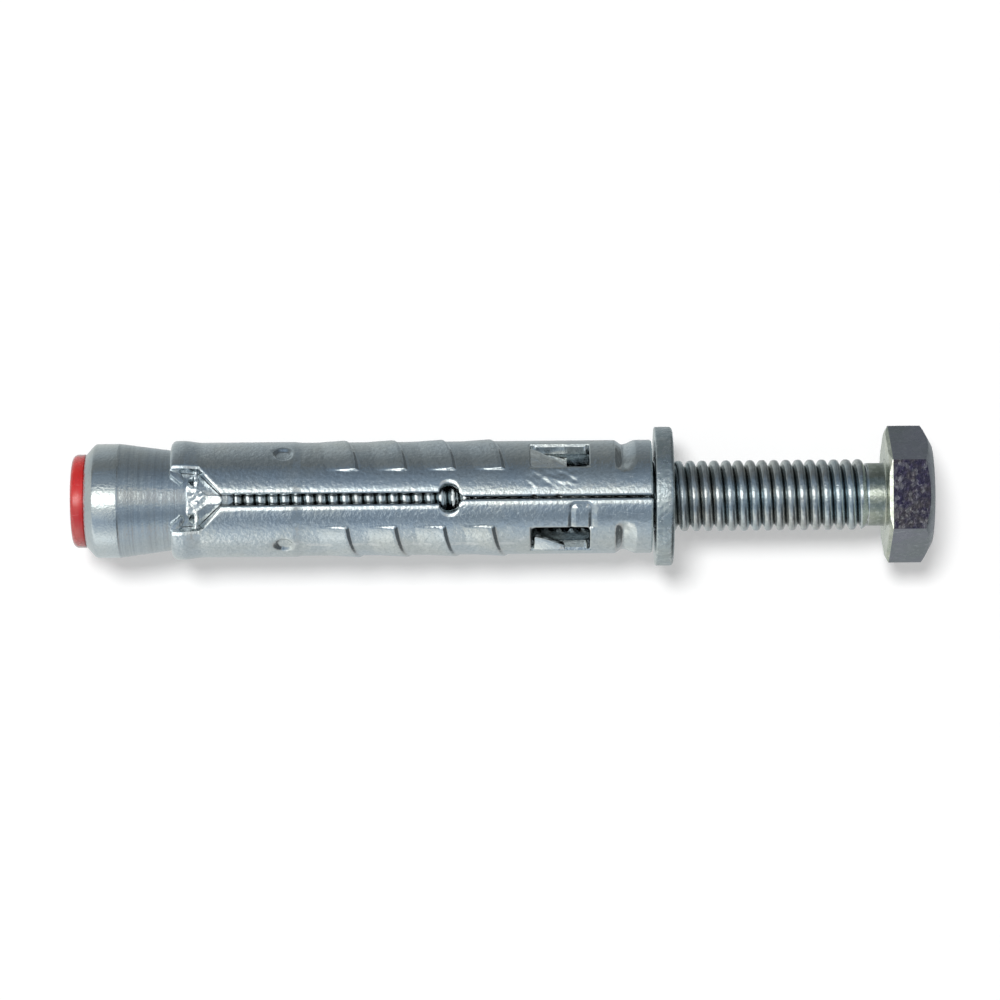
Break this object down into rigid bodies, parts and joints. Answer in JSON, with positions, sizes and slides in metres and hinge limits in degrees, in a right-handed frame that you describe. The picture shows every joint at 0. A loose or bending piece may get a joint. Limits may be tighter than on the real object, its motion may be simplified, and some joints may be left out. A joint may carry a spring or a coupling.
{
  "type": "steel sleeve anchor",
  "caption": "Zinc-plated expansion sleeve anchor with a hexagon-head bolt, loose washer, slotted toothed sleeve, cone nut and red dust cap, set in a drilled hole in concrete.",
  "frame": {"origin": "centre of the bolt head's outer face, which the anchor stands on", "axes": "+Z along the bolt from its head to the dust cap; -Y is the side of the sleeve's seam and slot"},
  "size_m": [0.0116, 0.0116, 0.0716],
  "materials": {
    "bolt_steel": "zinc plated, cold formed",
    "washer_steel": "zinc plated, stamped",
    "sleeve_steel": "zinc plated, rolled sheet",
    "nut_steel": "zinc plated, turned",
    "cap_plastic": "moulded red plastic, softly glossy"
  },
  "bodies": {
    "bolt": {"hex_bolt": "bolt_steel"},
    "washer": {"flat_washer": "washer_steel"},
    "anchor": {"expansion_sleeve": "sleeve_steel", "cone_nut": "nut_steel", "end_cap": "cap_plastic"}
  },
  "joints": [
    {"name": "washer_travel", "type": "slide", "parent": "bolt", "child": "washer", "axis": [0, 0, 1], "range_m": [-0.004, 0.005]},
    {"name": "anchor_turn", "type": "hinge", "parent": "washer", "child": "anchor", "pos_m": [0, 0, 0.0232], "axis": [0, 0, 1], "range_deg": [-1440, 1800]}
  ],
  "couplings": [
    {"joint": "washer_travel", "follows": "anchor_turn", "m_per_rad": 0.00015915}
  ]
}
